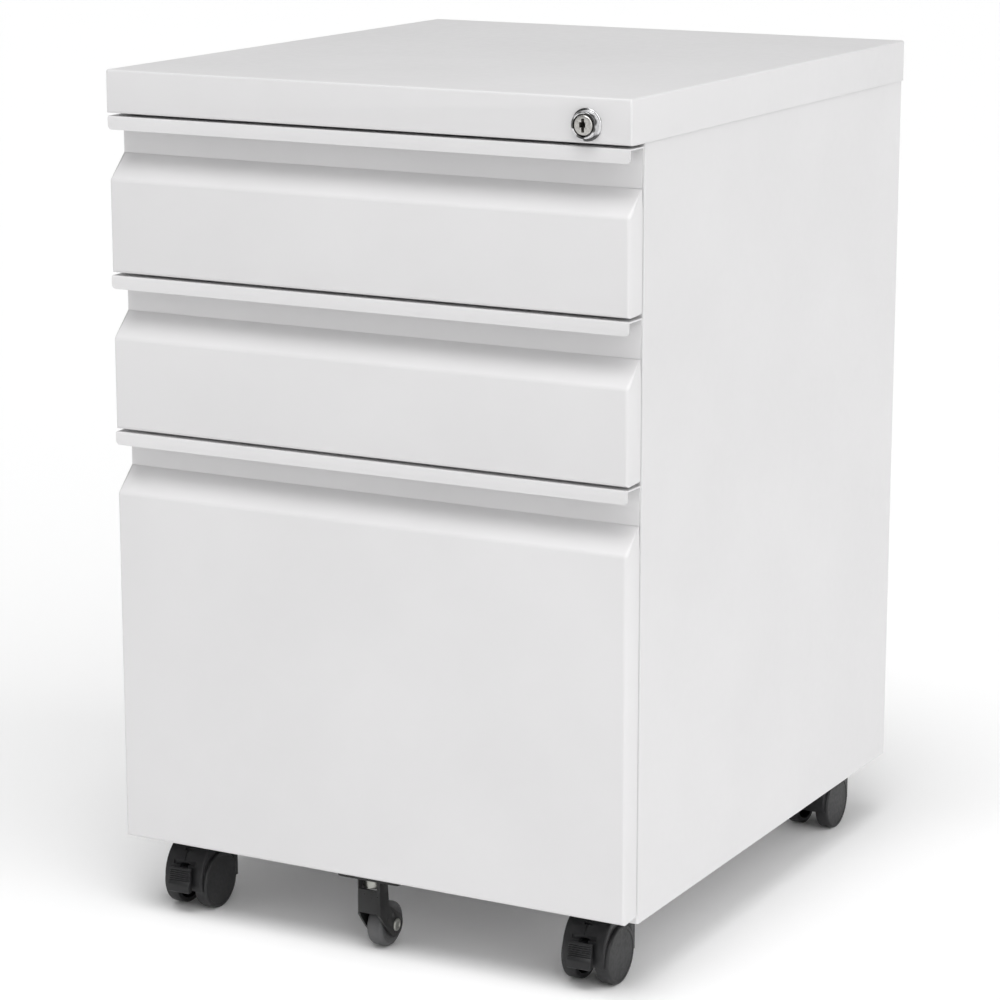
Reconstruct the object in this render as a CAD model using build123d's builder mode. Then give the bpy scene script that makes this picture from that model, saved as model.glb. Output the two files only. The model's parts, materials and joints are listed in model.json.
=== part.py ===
from build123d import *
import os

# Rolling pedestal cabinet: a folded steel case with two box drawers over one file drawer, a key
# lock that bars all three, four swivelling casters with two wheels each and a fixed anti-tip
# wheel under the file drawer. Millimetres, +Z up, floor at Z = 0, +X to the right seen from the front. The
# drawers open towards -Y. The origin is on the floor under the middle of the whole object.

# ---- Case
CASE_WIDTH = 390.0
CASE_DEPTH = 450.0
CASE_HEIGHT = 590.0
LOCK_PROUD = 6.0
FRONT = -(CASE_DEPTH - LOCK_PROUD) / 2
BACK = FRONT + CASE_DEPTH
CAP_HEIGHT = 29.0
CAP_SHEET = 1.0
CAP_BOTTOM = CASE_HEIGHT - CAP_HEIGHT
CAP_RETURN = 16.0  # flange turned in under the cap's front
PANEL_SHEET = 0.8
PANEL_OUT = CASE_WIDTH / 2 - CAP_SHEET  # outer face of a side panel, inside the cap's skirt
PANEL_FRONT = FRONT + 21.0
PANEL_BACK = BACK - CAP_SHEET
PANEL_BOTTOM = 50.0
FRONT_FLANGE = 6.0
REAR_FLANGE = 12.0
FLOOR_PAN_TOP = 61.0
FLOOR_PAN_SHEET = 1.0
FLOOR_PAN_FLANGE = 7.0

# ---- Uprights and slides, measured outwards from the middle of the case
UPRIGHT_DEPTH = 6.0
UPRIGHT_WIDTH = 30.0
UPRIGHT_SHEET = 1.2
UPRIGHT_FRONTS = (FRONT + 24.0, FRONT + 364.0)
SLOT_COUNT = 12
SLOT_LOW = 104.0
SLOT_PITCH = 40.0
UPRIGHT_FACE = PANEL_OUT - PANEL_SHEET - UPRIGHT_DEPTH
SLIDE_THICK = 12.7
SLIDE_SHEET = 1.2
SLIDE_FRONT = FRONT + 32.0
SLIDE_LENGTH = 395.0
SLIDE_BACK = SLIDE_FRONT + SLIDE_LENGTH
BOX_OUT = UPRIGHT_FACE - SLIDE_THICK  # outer face of a drawer box
BOX_SLIDE_HALF = 17.5  # half height of a box drawer's fixed member
BOX_INNER_HALF = 11.5
BOX_CAGE_START = -38.0  # ball retainers at rest, one run of travel short of their front end
BOX_CAGE_LENGTH = 90.0
BOX_BALL_RADIUS = 2.2
FILE_CAGE_START = -87.5
FILE_CAGE_LENGTH = 190.0
FILE_BALL_RADIUS = 1.9
RETAINER_HALF_WIDTH = 2.3
RETAINER_HALF_THICK = 0.4
BALL_PITCH = 15.0

# ---- Drawers: height of the front's lower edge, its upper edge, the box and the slide
TOP_DRAWER = {"low": 453.5, "high": 559.0, "box_low": 466.0, "box_high": 535.0, "slide": 496.0}
MIDDLE_DRAWER = {"low": 346.0, "high": 451.5, "box_low": 358.0, "box_high": 427.0, "slide": 388.0}
FILE_DRAWER = {"low": 55.0, "high": 344.0, "box_low": 73.0, "box_high": 315.0, "slide": 140.0}
FRONT_SHEET = 1.0
LIP_HEIGHT = 9.0
LIP_RETURN = 6.0
PULL_DEPTH = 19.5  # front plane to the back of the pull's rear wall
PULL_WALL = 27.0  # top of the front to the lower end of that wall
PULL_HEIGHT = 43.0  # top of the front to the foot of the slope
LINER_SHEET = 0.8
BOX_SHEET = 0.8
BOX_HEM = 5.0
LINER_HALF = 181.0
TRAY_DEPTH = 85.0
TRAY_HEIGHT = 22.0
TRAY_FLOOR = 2.5
TRAY_FIT = 0.3
RAIL_SHEET = 1.2
BOX_FRONT = FRONT + PULL_DEPTH + LINER_SHEET
BOX_BACK = SLIDE_BACK

# ---- Lock
LOCK_X = 164.2
LOCK_Z = 572.8
BEZEL_RADIUS = 10.4
PLUG_RADIUS = 6.9
KEY_SLOT = (2.0, 8.6)
KEY_SLOT_DEPTH = 14.0
BARREL_RADIUS = 9.0
PIN_THROW = 10.0
PIN_RADIUS = 2.0
PIN_SLACK = 0.6
BAR_IN = UPRIGHT_FACE - 3.5
BAR_OUT = UPRIGHT_FACE - 0.7
BAR_FRONT = FRONT + 22.5
BAR_DEPTH = 8.0
FINGER_FRONT = FRONT + 26.0
FINGER_THICK = 2.0
CATCH_HEIGHT = 8.0
CATCH_SHEET = 2.0
CATCH_TOPS = {"top_drawer": 532.0, "middle_drawer": 424.0, "file_drawer": 308.0}
GUIDE_HEIGHT = 12.0
GUIDE_LEVELS = (340.0, 445.0)
BAR_BOTTOM = 285.0

# ---- Casters
WHEEL_RADIUS = 20.0
WHEEL_OUT = 17.5
WHEEL_IN = 7.5
AXLE_RADIUS = 3.0
RUNNING_FIT = 0.05
HOOD_HALF = 15.5
HOOD_WEB = 6.0
HOOD_TOP = 57.0
WELL_RADIUS = 20.6
TRAIL = 14.0
STEM_RADIUS = 5.0
CASTER_X = 157.0
FRONT_AXLE_Y = -185.0
REAR_AXLE_Y = 184.0
HOOD_BOTTOM = 16.5
LEVER_PIVOT = (-9.0, 29.0)  # from the axle in Y, and in Z from the floor
LEVER_PIN_RADIUS = 2.0

# ---- Anti-tip wheel
TIP_AXLE_Y = -196.0
TIP_AXLE_Z = 16.0
TIP_RADIUS = 15.5
FORK_HALF = 9.0
FORK_SHEET = 1.6
FORK_FRONT = FRONT + 3.6
MOUNT_BOTTOM = 53.0

SIDES = {"left": -1, "right": 1}


def finish(piece, label):
    """Name a finished piece and write it to its own STEP file."""
    piece.part.label = label
    export_step(piece.part, f"parts/{label}.step")


def folded(plane, points, radii, sheet, side):
    """Section of a folded sheet: one face along the points, its thickness to the given side."""
    with BuildSketch(plane) as section:
        with BuildLine():
            FilletPolyline(*points, radius=radii)
            offset(amount=sheet, side=side)
        make_face()
    return section.sketch


def block(x_range, y_range, z_range, mode=Mode.ADD):
    """Rectangular block between three pairs of limits, in the part being built."""
    sizes = [high - low for low, high in (x_range, y_range, z_range)]
    corner = (x_range[0], y_range[0], z_range[0])
    with Locations(corner):
        Box(*sizes, align=(Align.MIN, Align.MIN, Align.MIN), mode=mode)


def channel(web, tip, middle, half, start, end, sheet=SLIDE_SHEET):
    """C-section rail along Y with its web at one X and its flanges' tips at another."""
    inside = Side.LEFT if web > tip else Side.RIGHT
    corners = (
        (tip, middle - half),
        (web, middle - half),
        (web, middle + half),
        (tip, middle + half),
    )
    return extrude(
        folded(Plane.XZ.offset(-end), corners, 2 * sheet, sheet, inside),
        amount=end - start,
        mode=Mode.PRIVATE,
    )


def ball_row(x, z, start, length, radius):
    """One retainer strip with its balls, along Y."""
    count = int(length // BALL_PITCH)
    with BuildPart() as row:
        block(
            (x - RETAINER_HALF_WIDTH, x + RETAINER_HALF_WIDTH),
            (start, start + length),
            (z - RETAINER_HALF_THICK, z + RETAINER_HALF_THICK),
        )
        with Locations((x, start + length / 2, z)):
            with GridLocations(0, length / count, 1, count):
                Sphere(radius)
    return row.part


# ============================================================ case
os.makedirs("parts", exist_ok=True)

with BuildPart() as top_cap:
    with BuildSketch(Plane.XY.offset(CAP_BOTTOM)):
        with Locations((0, (FRONT + BACK) / 2)):
            Rectangle(CASE_WIDTH, CASE_DEPTH)
    extrude(amount=CAP_HEIGHT)
    fillet(top_cap.edges().filter_by(Axis.Z), radius=1.6)
    fillet(top_cap.faces().sort_by(Axis.Z)[-1].edges(), radius=1.5)
    block(
        (-PANEL_OUT, PANEL_OUT),
        (FRONT + CAP_SHEET, PANEL_BACK),
        (CAP_BOTTOM, CASE_HEIGHT - CAP_SHEET),
        Mode.SUBTRACT,
    )
    block(
        (-PANEL_OUT, PANEL_OUT),
        (FRONT + CAP_SHEET, FRONT + CAP_RETURN),
        (CAP_BOTTOM, CAP_BOTTOM + CAP_SHEET),
    )
    with Locations(Plane.XZ.offset(-FRONT) * Location((LOCK_X, LOCK_Z, 0))):
        Hole(BARREL_RADIUS + RUNNING_FIT, depth=4)
finish(top_cap, "top_cap")

panel_corners = (
    (PANEL_OUT - REAR_FLANGE, PANEL_BACK),
    (PANEL_OUT, PANEL_BACK),
    (PANEL_OUT, PANEL_FRONT),
    (PANEL_OUT - FRONT_FLANGE, PANEL_FRONT),
)
with BuildPart() as right_side_panel:
    extrude(
        folded(Plane.XY.offset(PANEL_BOTTOM), panel_corners, 1.6, PANEL_SHEET, Side.RIGHT),
        amount=CASE_HEIGHT - CAP_SHEET - PANEL_BOTTOM,
    )
finish(right_side_panel, "right_side_panel")

with BuildPart() as left_side_panel:
    mirror(right_side_panel.part, about=Plane.YZ)
finish(left_side_panel, "left_side_panel")

back_panel_y = PANEL_BACK - 2 * PANEL_SHEET
with BuildPart() as back_panel:
    block(
        (-PANEL_OUT + 1.6, PANEL_OUT - 1.6),
        (back_panel_y, PANEL_BACK - PANEL_SHEET),
        (PANEL_BOTTOM + 2, CASE_HEIGHT - CAP_SHEET - 0.5),
    )
finish(back_panel, "back_panel")

pan_half = PANEL_OUT - PANEL_SHEET
stem_spots = [
    (side * CASTER_X, axle_y + TRAIL)
    for side in SIDES.values()
    for axle_y in (FRONT_AXLE_Y, REAR_AXLE_Y)
]
with BuildPart() as bottom_panel:
    block(
        (-pan_half, pan_half),
        (PANEL_FRONT + 2, back_panel_y),
        (FLOOR_PAN_TOP - FLOOR_PAN_FLANGE, FLOOR_PAN_TOP),
    )
    block(
        (-pan_half + FLOOR_PAN_SHEET, pan_half - FLOOR_PAN_SHEET),
        (PANEL_FRONT + 2 + FLOOR_PAN_SHEET, back_panel_y - FLOOR_PAN_SHEET),
        (FLOOR_PAN_TOP - FLOOR_PAN_FLANGE, FLOOR_PAN_TOP - FLOOR_PAN_SHEET),
        Mode.SUBTRACT,
    )
    for spot in stem_spots:
        with Locations((*spot, FLOOR_PAN_TOP)):
            Hole(STEM_RADIUS + RUNNING_FIT, depth=3)
finish(bottom_panel, "bottom_panel")

upright_height = CASE_HEIGHT - CAP_SHEET - 1 - FLOOR_PAN_TOP
with BuildPart() as slide_uprights:
    for side in SIDES.values():
        for start in UPRIGHT_FRONTS:
            ends = (start, start + UPRIGHT_WIDTH)
            outer, face = side * (PANEL_OUT - PANEL_SHEET), side * UPRIGHT_FACE
            corners = ((outer, ends[0]), (face, ends[0]), (face, ends[1]), (outer, ends[1]))
            inside = Side.RIGHT if side > 0 else Side.LEFT
            extrude(
                folded(Plane.XY.offset(FLOOR_PAN_TOP), corners, 2.0, UPRIGHT_SHEET, inside),
                amount=upright_height,
            )
            slot_y = start + UPRIGHT_WIDTH / 2
            slots = [(face, slot_y, SLOT_LOW + SLOT_PITCH * row) for row in range(SLOT_COUNT)]
            with Locations(*slots):
                Box(2 * UPRIGHT_SHEET + 1, 3, 12, mode=Mode.SUBTRACT)
finish(slide_uprights, "slide_uprights")


# ============================================================ drawers
def drawer_front(low, high, bolt_holes=()):
    """Folded front: a thin lip over a full-width finger recess, a slope and a flat face."""
    back = FRONT + PULL_DEPTH
    inner = FRONT + FRONT_SHEET
    outline = (
        (FRONT + LIP_RETURN, high - LIP_HEIGHT),
        (FRONT, high - LIP_HEIGHT),
        (FRONT, high),
        (back, high),
        (back, high - PULL_WALL),
        (inner, high - PULL_HEIGHT),
        (inner, low + FRONT_SHEET),
        (back - 1, low + FRONT_SHEET),
    )
    radii = [1.6, 1.6, 1.8, 2.5, 0.8, 0.8]
    plane = Plane.YZ.offset(-PANEL_OUT)
    cheek = (
        (FRONT + 0.6, low + 0.6),
        (FRONT + 0.6, high - PULL_HEIGHT),
        (back - 1, high - PULL_WALL - 1),
        (back - 1, low + 0.6),
    )
    with BuildPart() as front:
        extrude(folded(plane, outline, radii, FRONT_SHEET, Side.RIGHT), amount=2 * PANEL_OUT)
        for start in (-PANEL_OUT, PANEL_OUT - FRONT_SHEET):
            with BuildSketch(Plane.YZ.offset(start)):
                with BuildLine():
                    Polyline(*cheek, close=True)
                make_face()
            extrude(amount=FRONT_SHEET)
        for x, y, radius in bolt_holes:
            with Locations((x, y, low + FRONT_SHEET)):
                Hole(radius, depth=FRONT_SHEET + 1)
    return front


def front_liner(low, high):
    """Flat sheet that closes the hollow back of a front."""
    with BuildPart() as liner:
        block((-LINER_HALF, LINER_HALF), (BOX_FRONT - LINER_SHEET, BOX_FRONT), (low + 1.5, high - 3))
    return liner


def drawer_box(low, high, hem):
    """Sheet steel tray; the box drawers have a hem turned in along the side walls."""
    with BuildPart() as box:
        block((-BOX_OUT, BOX_OUT), (BOX_FRONT, BOX_BACK), (low, high))
        block(
            (-BOX_OUT + BOX_SHEET, BOX_OUT - BOX_SHEET),
            (BOX_FRONT + BOX_SHEET, BOX_BACK - BOX_SHEET),
            (low + BOX_SHEET, high),
            Mode.SUBTRACT,
        )
        if hem:
            for side in SIDES.values():
                span = sorted((side * (BOX_OUT - BOX_HEM), side * (BOX_OUT - BOX_SHEET / 2)))
                block(span, (BOX_FRONT, BOX_BACK), (high - BOX_SHEET, high))
    return box


def lock_catch(top):
    """Angle on the right side of a drawer box that the raised lock bar stands in front of."""
    foot = FINGER_FRONT + FINGER_THICK + 0.6
    height = (top - CATCH_HEIGHT, top)
    with BuildPart() as catch:
        block((BOX_OUT, BOX_OUT + 8), (foot, foot + CATCH_SHEET), height)
        block((BOX_OUT, BOX_OUT + 1.2), (foot, foot + 18), height)
    return catch


def box_inner_slides(middle):
    """The pair of slide members on the sides of a box drawer."""
    with BuildPart() as pair:
        for side in SIDES.values():
            add(
                channel(side * BOX_OUT, side * (BOX_OUT + 8.5), middle, BOX_INNER_HALF,
                        SLIDE_FRONT, SLIDE_BACK)
            )
    return pair


def ball_cages(x, levels, start, length, radius):
    """Four ball retainers that run between two slide members on both sides of a drawer."""
    with BuildPart() as cages:
        for side in SIDES.values():
            for level in levels:
                add(ball_row(side * x, level, start, length, radius))
    return cages


box_drawers = {"top_drawer": TOP_DRAWER, "middle_drawer": MIDDLE_DRAWER}
for name, sizes in box_drawers.items():
    finish(drawer_front(sizes["low"], sizes["high"]), f"{name}_front")
    finish(front_liner(sizes["low"], sizes["high"]), f"{name}_front_liner")
    finish(drawer_box(sizes["box_low"], sizes["box_high"], hem=True), f"{name}_box")
    finish(box_inner_slides(sizes["slide"]), f"{name}_inner_slides")
    levels = (sizes["slide"] - 13.9, sizes["slide"] + 13.9)
    cages = ball_cages(180.0, levels, BOX_CAGE_START, BOX_CAGE_LENGTH, BOX_BALL_RADIUS)
    finish(cages, f"{name}_ball_cages")
    finish(lock_catch(CATCH_TOPS[name]), f"{name}_catch")

with BuildPart() as box_drawer_outer_slides:
    for side in SIDES.values():
        for sizes in box_drawers.values():
            add(
                channel(side * UPRIGHT_FACE, side * (UPRIGHT_FACE - 10.2), sizes["slide"],
                        BOX_SLIDE_HALF, SLIDE_FRONT, SLIDE_BACK)
            )
finish(box_drawer_outer_slides, "box_drawer_outer_slides")

# Pencil tray: two long troughs and two pockets, in the front of the top drawer.
tray_low = TOP_DRAWER["box_low"] + BOX_SHEET
tray_front = BOX_FRONT + BOX_SHEET + TRAY_FIT
tray_half = BOX_OUT - BOX_SHEET - TRAY_FIT
tray_pockets = (
    ((-170, 40), (3, 42)),
    ((-170, 40), (45, 82)),
    ((43, 105), (3, 82)),
    ((108, 170), (3, 82)),
)
with BuildPart() as pencil_tray:
    block(
        (-tray_half, tray_half),
        (tray_front, tray_front + TRAY_DEPTH),
        (tray_low, tray_low + TRAY_HEIGHT),
    )
    for x_range, y_range in tray_pockets:
        block(
            x_range,
            [tray_front + y for y in y_range],
            (tray_low + TRAY_FLOOR, tray_low + TRAY_HEIGHT),
            Mode.SUBTRACT,
        )
finish(pencil_tray, "pencil_tray")

# File drawer: full-extension slides of three members, and rails for hanging folders.
bolt_y = FORK_FRONT + 7.4
bolt_holes = ((-17, bolt_y, 2.05), (17, bolt_y, 2.05), (0, bolt_y, 4.05))
finish(drawer_front(FILE_DRAWER["low"], FILE_DRAWER["high"], bolt_holes), "file_drawer_front")
finish(front_liner(FILE_DRAWER["low"], FILE_DRAWER["high"]), "file_drawer_front_liner")
file_box = drawer_box(FILE_DRAWER["box_low"], FILE_DRAWER["box_high"], hem=False)
finish(file_box, "file_drawer_box")
finish(lock_catch(CATCH_TOPS["file_drawer"]), "file_drawer_catch")

file_slides = {
    "file_drawer_outer_slides": (UPRIGHT_FACE, UPRIGHT_FACE - 9.4, 22.9),
    "file_drawer_mid_slides": (UPRIGHT_FACE - 3.6, UPRIGHT_FACE - 11.2, 17.5),
    "file_drawer_inner_slides": (BOX_OUT, BOX_OUT + 6.9, 12.1),
}
for label, (web, tip, half) in file_slides.items():
    with BuildPart() as members:
        for side in SIDES.values():
            add(
                channel(side * web, side * tip, FILE_DRAWER["slide"], half,
                        SLIDE_FRONT, SLIDE_BACK)
            )
    finish(members, label)

file_cages = {
    "file_drawer_outer_ball_cages": (UPRIGHT_FACE - 7.4, 19.6),
    "file_drawer_inner_ball_cages": (BOX_OUT + 4.5, 14.2),
}
for label, (x, offset_z) in file_cages.items():
    levels = (FILE_DRAWER["slide"] - offset_z, FILE_DRAWER["slide"] + offset_z)
    cages = ball_cages(x, levels, FILE_CAGE_START, FILE_CAGE_LENGTH, FILE_BALL_RADIUS)
    finish(cages, label)

rail_top = FILE_DRAWER["box_high"] - 1
with BuildPart() as hanger_rails:
    for side in SIDES.values():
        wall, lip = BOX_OUT - BOX_SHEET, BOX_OUT - 9.5
        shelf = sorted((side * lip, side * wall))
        edge = sorted((side * lip, side * (lip + RAIL_SHEET)))
        foot = sorted((side * (wall - RAIL_SHEET), side * wall))
        span = (BOX_FRONT + 6, BOX_BACK - 6)
        shelf_low = rail_top - 9
        block(shelf, span, (shelf_low, shelf_low + RAIL_SHEET))
        block(edge, span, (shelf_low, rail_top))
        block(foot, span, (shelf_low - 7, shelf_low + RAIL_SHEET))
finish(hanger_rails, "hanger_rails")


# ============================================================ lock
def lock_plane(y):
    """Plane facing the front at a given Y, centred on the lock."""
    return Plane((LOCK_X, y, LOCK_Z), x_dir=(1, 0, 0), z_dir=(0, -1, 0))


barrel_end = FRONT + 22.0
with BuildPart() as lock_housing:
    with BuildSketch(lock_plane(barrel_end)):
        Circle(BARREL_RADIUS)
    extrude(amount=barrel_end - FRONT)
    with BuildSketch(lock_plane(FRONT)):
        Circle(BEZEL_RADIUS)
    extrude(amount=1.6)
    with BuildSketch(lock_plane(FRONT - 1.6)):
        Circle(BEZEL_RADIUS)
    extrude(amount=LOCK_PROUD - 2.0, taper=32)
    with BuildSketch(lock_plane(barrel_end + 1)):
        Circle(PLUG_RADIUS + RUNNING_FIT)
    extrude(amount=40, mode=Mode.SUBTRACT)
finish(lock_housing, "lock_housing")

with BuildPart() as lock_nut:
    with BuildSketch(lock_plane(FRONT + CAP_SHEET + 4)):
        RegularPolygon(10.6, 6, major_radius=False)
        Circle(BARREL_RADIUS + RUNNING_FIT, mode=Mode.SUBTRACT)
    extrude(amount=4)
finish(lock_nut, "lock_nut")

tail_end = barrel_end + 2.8
with BuildPart() as lock_plug:
    with BuildSketch(lock_plane(barrel_end)):
        Circle(PLUG_RADIUS)
    extrude(amount=barrel_end - FRONT + LOCK_PROUD)
    with BuildSketch(lock_plane(tail_end)):
        Circle(3.5)
    extrude(amount=tail_end - barrel_end)
    with BuildSketch(lock_plane(FRONT - LOCK_PROUD + KEY_SLOT_DEPTH)):
        Rectangle(*KEY_SLOT)
    extrude(amount=KEY_SLOT_DEPTH + 6, mode=Mode.SUBTRACT)
finish(lock_plug, "lock_plug")

# The cam's pin starts 45 degrees below the horizontal and ends as far above it.
pin_rest = (PIN_THROW * 0.5**0.5, -PIN_THROW * 0.5**0.5)
cam_back = barrel_end + 2.6
with BuildPart() as lock_cam:
    with BuildSketch(lock_plane(cam_back)):
        Circle(6.5)
        with Locations(pin_rest):
            Circle(3.5)
        make_hull()
        Circle(3.5, mode=Mode.SUBTRACT)
    extrude(amount=2.0)
    with BuildSketch(lock_plane(cam_back + 6)):
        with Locations(pin_rest):
            Circle(PIN_RADIUS)
    extrude(amount=6.5)
finish(lock_cam, "lock_cam")

# Lock bar: an upright strip with a slotted arm for the cam's pin and one finger to a drawer.
arm_middle = LOCK_Z + pin_rest[1]
slot_half = PIN_RADIUS + PIN_SLACK
arm_front = cam_back + 2.0
with BuildPart() as lock_bar:
    block((BAR_IN, BAR_OUT), (BAR_FRONT, BAR_FRONT + BAR_DEPTH), (BAR_BOTTOM, arm_middle + 5.8))
    block((LOCK_X, BAR_OUT), (arm_front, arm_front + 2), (arm_middle - 5.8, arm_middle + 5.8))
    block(
        (LOCK_X + pin_rest[0] - slot_half, LOCK_X + PIN_THROW + slot_half),
        (arm_front - 1, arm_front + 3),
        (arm_middle - slot_half, arm_middle + slot_half),
        Mode.SUBTRACT,
    )
    for top in CATCH_TOPS.values():
        block(
            (BOX_OUT + 1.5, BAR_OUT),
            (FINGER_FRONT, FINGER_FRONT + FINGER_THICK),
            (top - CATCH_HEIGHT - 13, top - CATCH_HEIGHT - 3),
        )
finish(lock_bar, "lock_bar")

with BuildPart() as lock_bar_guides:
    for level in GUIDE_LEVELS:
        block(
            (BAR_IN - 1.7, UPRIGHT_FACE),
            (BAR_FRONT - 1.1, BAR_FRONT + BAR_DEPTH + 3),
            (level, level + GUIDE_HEIGHT),
        )
        block(
            (BAR_IN - 0.3, BAR_OUT + 0.3),
            (BAR_FRONT - 0.3, BAR_FRONT + BAR_DEPTH + 0.3),
            (level - 1, level + GUIDE_HEIGHT + 1),
            Mode.SUBTRACT,
        )
finish(lock_bar_guides, "lock_bar_guides")


# ============================================================ casters
def axle_plane(x, y, z=WHEEL_RADIUS):
    """Plane square to X, centred on an axle; its first axis is Y and its second is Z."""
    return Plane((x, y, z), x_dir=(0, 1, 0), z_dir=(1, 0, 0))


def caster_hood(x, y):
    """Moulded hood: a domed shell over both wheels and a web between them for axle and stem."""
    with BuildPart() as hood:
        with BuildSketch(Plane((x - HOOD_HALF, y, 0), x_dir=(0, 1, 0), z_dir=(1, 0, 0))):
            with BuildLine():
                ThreePointArc((-21.3, HOOD_BOTTOM), (-22.5, 26.0), (-13.5, 45.0))
                ThreePointArc((-13.5, 45.0), (-6.0, 52.3), (3.0, HOOD_TOP))
                Line((3.0, HOOD_TOP), (22.0, HOOD_TOP))
                ThreePointArc((22.0, HOOD_TOP), (26.0, 38.0), (24.8, HOOD_BOTTOM))
                Polyline((24.8, HOOD_BOTTOM), (9.0, HOOD_BOTTOM), (6.0, 12.0), (-6.0, 12.0),
                         (-9.0, HOOD_BOTTOM), (-21.3, HOOD_BOTTOM))
            make_face()
        extrude(amount=2 * HOOD_HALF)
        for start in (x - HOOD_HALF, x + HOOD_WEB):
            with BuildSketch(axle_plane(start, y)):
                Circle(WELL_RADIUS)
            extrude(amount=HOOD_HALF - HOOD_WEB, mode=Mode.SUBTRACT)
        with BuildSketch(axle_plane(x - HOOD_WEB, y)):
            Circle(AXLE_RADIUS)
            with Locations((LEVER_PIVOT[0], LEVER_PIVOT[1] - WHEEL_RADIUS)):
                Circle(LEVER_PIN_RADIUS + RUNNING_FIT)
        extrude(amount=2 * HOOD_WEB, mode=Mode.SUBTRACT)
        with Locations((x, y + TRAIL, HOOD_TOP)):
            Hole(STEM_RADIUS + RUNNING_FIT, depth=16.5)
        block((x - 3.3, x + 3.3), (y - 26, y - 5.5), (18.8, 35.0), Mode.SUBTRACT)
    return hood


def caster_axle(x, y):
    """Plain steel axle for both wheels of one caster."""
    with BuildPart() as axle:
        with BuildSketch(axle_plane(x - HOOD_HALF, y)):
            Circle(AXLE_RADIUS)
        extrude(amount=2 * HOOD_HALF)
    return axle


def caster_wheel(x, y, side):
    """Cup-shaped wheel: a disc outside, a tread round it and a hub inside."""
    rim, bore = WHEEL_RADIUS - 3.5, AXLE_RADIUS + RUNNING_FIT
    section = (
        (HOOD_WEB + 0.3, bore),
        (HOOD_WEB + 0.3, 5.5),
        (WHEEL_OUT - 2.3, 5.5),
        (WHEEL_OUT - 2.3, rim),
        (WHEEL_IN, rim),
        (WHEEL_IN, WHEEL_RADIUS - 0.8),
        (WHEEL_IN + 0.8, WHEEL_RADIUS),
        (WHEEL_OUT - 1.2, WHEEL_RADIUS),
        (WHEEL_OUT, WHEEL_RADIUS - 1.5),
        (WHEEL_OUT, 0),
        (WHEEL_OUT - 1.7, 0),
        (WHEEL_OUT - 1.7, bore),
    )
    with BuildPart() as wheel:
        with BuildSketch(Plane((x, y, WHEEL_RADIUS), x_dir=(1, 0, 0), z_dir=(0, -1, 0))):
            with BuildLine():
                Polyline(*[(side * along, radius) for along, radius in section], close=True)
            make_face()
        revolve(axis=Axis((x, y, WHEEL_RADIUS), (1, 0, 0)))
    return wheel


def brake_lever(x, y):
    """Foot tab on an arm that pivots inside the hood's web."""
    with BuildPart() as lever:
        block((x - 8.6, x + 8.6), (y - 29.0, y - 24.2), (16.0, 34.0))
        block((x - 3.0, x + 3.0), (y - 25.0, y - 6.6), (25.2, 32.8))
        with BuildSketch(axle_plane(x - 5.8, y)):
            with Locations((LEVER_PIVOT[0], LEVER_PIVOT[1] - WHEEL_RADIUS)):
                Circle(LEVER_PIN_RADIUS)
        extrude(amount=11.6)
    return lever


corners = [
    (f"{end}_{name}", side * CASTER_X, axle_y)
    for end, axle_y in (("front", FRONT_AXLE_Y), ("rear", REAR_AXLE_Y))
    for name, side in SIDES.items()
]
for corner, x, y in corners:
    finish(caster_hood(x, y), f"{corner}_caster_hood")
    finish(caster_axle(x, y), f"{corner}_caster_axle")
    for name, side in SIDES.items():
        finish(caster_wheel(x, y, side), f"{corner}_caster_{name}_wheel")
    if corner.startswith("front"):
        finish(brake_lever(x, y), f"{corner}_brake_lever")

with BuildPart() as caster_stems:
    for spot in stem_spots:
        with BuildSketch(Plane.XY.offset(HOOD_TOP - 16)):
            with Locations(spot):
                Circle(STEM_RADIUS)
        extrude(amount=FLOOR_PAN_TOP + 8 - HOOD_TOP + 16)
        with BuildSketch(Plane.XY.offset(HOOD_TOP + 0.3)):
            with Locations(spot):
                Circle(9.0)
        extrude(amount=FLOOR_PAN_TOP - FLOOR_PAN_SHEET - HOOD_TOP - 0.3)
finish(caster_stems, "caster_stems")

with BuildPart() as caster_nuts:
    with BuildSketch(Plane.XY.offset(FLOOR_PAN_TOP)):
        with Locations(*stem_spots):
            RegularPolygon(8.0, 6, major_radius=False)
            Circle(STEM_RADIUS + RUNNING_FIT, mode=Mode.SUBTRACT)
    extrude(amount=6)
finish(caster_nuts, "caster_nuts")

# ============================================================ anti-tip wheel
ear = 8.8
axle_head = 1.5
with BuildPart() as anti_tip_fork:
    for start in (-FORK_HALF, FORK_HALF - FORK_SHEET):
        with BuildSketch(axle_plane(start, TIP_AXLE_Y, TIP_AXLE_Z)):
            Circle(ear)
            with BuildLine():
                Polyline(
                    (FORK_FRONT - TIP_AXLE_Y, MOUNT_BOTTOM - TIP_AXLE_Z),
                    (FORK_FRONT - TIP_AXLE_Y, 13.5),
                )
                ThreePointArc((FORK_FRONT - TIP_AXLE_Y, 13.5), (-17.0, 0.5), (-5.0, -7.2))
                Polyline(
                    (-5.0, -7.2),
                    (0, 0),
                    (4.5, 7.5),
                    (-9.5, 17.0),
                    (-11.5, MOUNT_BOTTOM - TIP_AXLE_Z),
                    (FORK_FRONT - TIP_AXLE_Y, MOUNT_BOTTOM - TIP_AXLE_Z),
                )
            make_face()
            Circle(AXLE_RADIUS + RUNNING_FIT, mode=Mode.SUBTRACT)
        extrude(amount=FORK_SHEET)
    block((-FORK_HALF, FORK_HALF), (FORK_FRONT, FORK_FRONT + FORK_SHEET), (29.5, 46.4))
    block((-24, 24), (FORK_FRONT - 0.8, FRONT + 18.3), (MOUNT_BOTTOM, FILE_DRAWER["low"]))
    for x, y, radius in bolt_holes:
        with Locations((x, y, FILE_DRAWER["low"])):
            Hole(radius, depth=3)
finish(anti_tip_fork, "anti_tip_fork")

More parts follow.
